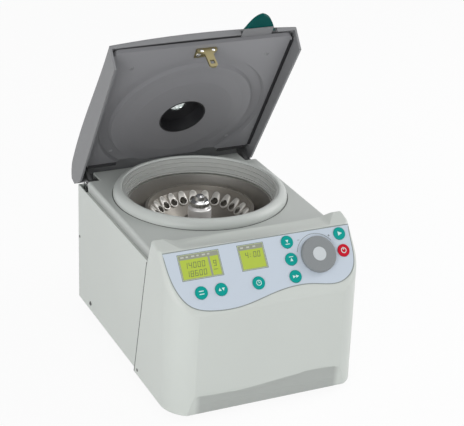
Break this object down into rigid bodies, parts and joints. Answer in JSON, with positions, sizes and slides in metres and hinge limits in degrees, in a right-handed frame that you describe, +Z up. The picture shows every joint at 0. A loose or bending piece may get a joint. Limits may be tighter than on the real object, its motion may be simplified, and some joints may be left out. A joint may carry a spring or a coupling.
{
  "type": "high-speed microcentrifuge",
  "caption": "Bench microcentrifuge with a hinged lid standing open, a ring rotor with slanted tube pockets in a round chamber, and a sloping control panel with displays, keys and a knob.",
  "frame": {"origin": "on the table under the middle of the part as it stands with its lid open", "axes": "+Z up, +Y from the control panel to the rear, +X to the right of someone facing the panel"},
  "size_m": [0.2828, 0.4137, 0.4828],
  "materials": {
    "body_paint": "light grey powder coat, satin",
    "body_moulding": "light grey moulding, fine texture",
    "lid_moulding": "light grey moulding, satin",
    "liner_moulding": "mid grey moulding, matt",
    "dark_moulding": "dark moulding, matt",
    "overlay": "pale blue-grey film, satin",
    "display": "yellow-green liquid crystal window",
    "teal": "teal moulding, satin",
    "red": "red moulding, satin",
    "knob": "mid grey moulding, satin",
    "knob_pale": "pale grey moulding, satin",
    "steel": "spun stainless steel",
    "zinc": "bright plated steel",
    "bright": "bright plating",
    "rotor": "bronze anodised aluminium",
    "motor": "dark enamel",
    "copper": "varnished windings on steel laminations",
    "rubber": "black rubber",
    "gasket": "grey rubber",
    "brass": "yellow passivated metal",
    "board": "green laminate with parts",
    "clear": "clear window"
  },
  "bodies": {
    "housing": {"base_plate": "body_paint", "left_side_panel": "body_paint", "right_side_panel": "body_paint", "rear_panel": "body_paint", "front_cover": "body_moulding", "top_deck": "body_moulding", "chamber_collar": "body_moulding", "collar_gasket": "gasket", "chamber_bowl": "steel", "shaft_seal": "rubber", "motor_housing": "motor", "motor_stator": "copper", "motor_flange": "zinc", "motor_mounts": "rubber", "motor_bearings": "zinc", "membrane_panel": "overlay", "speed_display": "display", "time_display": "display", "control_board": "board", "key_switches": "dark_moulding", "knob_encoder": "dark_moulding", "power_board": "board", "mains_inlet": "dark_moulding", "switch_frame": "dark_moulding", "rubber_feet": "rubber", "hinge_brackets": "zinc", "hinge_pins": "bright", "latch_housing": "dark_moulding", "latch_solenoid": "motor", "side_screws": "zinc", "rear_screws": "zinc"},
    "lid": {"lid_shell": "lid_moulding", "lid_liner": "liner_moulding", "port_cup": "dark_moulding", "sight_glass": "clear", "port_bezel": "bright", "lid_striker": "brass", "striker_screws": "zinc", "liner_screws": "zinc", "lid_handle": "teal", "hinge_arms": "zinc"},
    "rotor": {"motor_shaft": "zinc", "motor_armature": "copper", "tube_rotor": "rotor", "rotor_hub": "rotor", "rotor_nut": "bright"},
    "lock": {"lock_bolt": "zinc"},
    "knob": {"jog_knob": "knob", "knob_cap": "knob_pale"},
    "rocker": {"mains_rocker": "dark_moulding"},
    "unit_key": {"unit_key": "teal"},
    "ramp_key": {"ramp_key": "teal"},
    "time_key": {"time_key": "teal"},
    "store_key": {"store_key": "teal"},
    "recall_key": {"recall_key": "teal"},
    "quick_run_key": {"quick_run_key": "teal"},
    "start_key": {"start_key": "teal"},
    "stop_key": {"stop_key": "red"}
  },
  "joints": [
    {"name": "lid_hinge", "type": "hinge", "parent": "housing", "child": "lid", "pos_m": [0, 0.1555, 0.202], "axis": [1, 0, 0], "range_deg": [0, 58.3]},
    {"name": "rotor_spin", "type": "hinge", "parent": "housing", "child": "rotor", "pos_m": [0, 0.042, 0.16], "axis": [0, 0, 1], "continuous": true},
    {"name": "lock_slide", "type": "slide", "parent": "housing", "child": "lock", "axis": [0, 1, 0], "range_m": [0, 0.01]},
    {"name": "knob_turn", "type": "hinge", "parent": "housing", "child": "knob", "pos_m": [0.0808, -0.17223, 0.20236], "axis": [0, -0.7771, 0.6293], "continuous": true},
    {"name": "rocker_tilt", "type": "hinge", "parent": "housing", "child": "rocker", "pos_m": [0.084, 0.1685, 0.092], "axis": [0, 0, 1], "range_deg": [0, 12]},
    {"name": "unit_press", "type": "slide", "parent": "housing", "child": "unit_key", "axis": [0, 0.7771, -0.6293], "range_m": [0, 0.0008], "stiffness_N_per_m": 500, "springref_m": -0.0006},
    {"name": "ramp_press", "type": "slide", "parent": "housing", "child": "ramp_key", "axis": [0, 0.7771, -0.6293], "range_m": [0, 0.0008], "stiffness_N_per_m": 500, "springref_m": -0.0006},
    {"name": "time_press", "type": "slide", "parent": "housing", "child": "time_key", "axis": [0, 0.7771, -0.6293], "range_m": [0, 0.0008], "stiffness_N_per_m": 500, "springref_m": -0.0006},
    {"name": "store_press", "type": "slide", "parent": "housing", "child": "store_key", "axis": [0, 0.7771, -0.6293], "range_m": [0, 0.0008], "stiffness_N_per_m": 500, "springref_m": -0.0006},
    {"name": "recall_press", "type": "slide", "parent": "housing", "child": "recall_key", "axis": [0, 0.7771, -0.6293], "range_m": [0, 0.0008], "stiffness_N_per_m": 500, "springref_m": -0.0006},
    {"name": "quick_run_press", "type": "slide", "parent": "housing", "child": "quick_run_key", "axis": [0, 0.7771, -0.6293], "range_m": [0, 0.0008], "stiffness_N_per_m": 500, "springref_m": -0.0006},
    {"name": "start_press", "type": "slide", "parent": "housing", "child": "start_key", "axis": [0, 0.7771, -0.6293], "range_m": [0, 0.0008], "stiffness_N_per_m": 500, "springref_m": -0.0006},
    {"name": "stop_press", "type": "slide", "parent": "housing", "child": "stop_key", "axis": [0, 0.7771, -0.6293], "range_m": [0, 0.0008], "stiffness_N_per_m": 500, "springref_m": -0.0006}
  ]
}
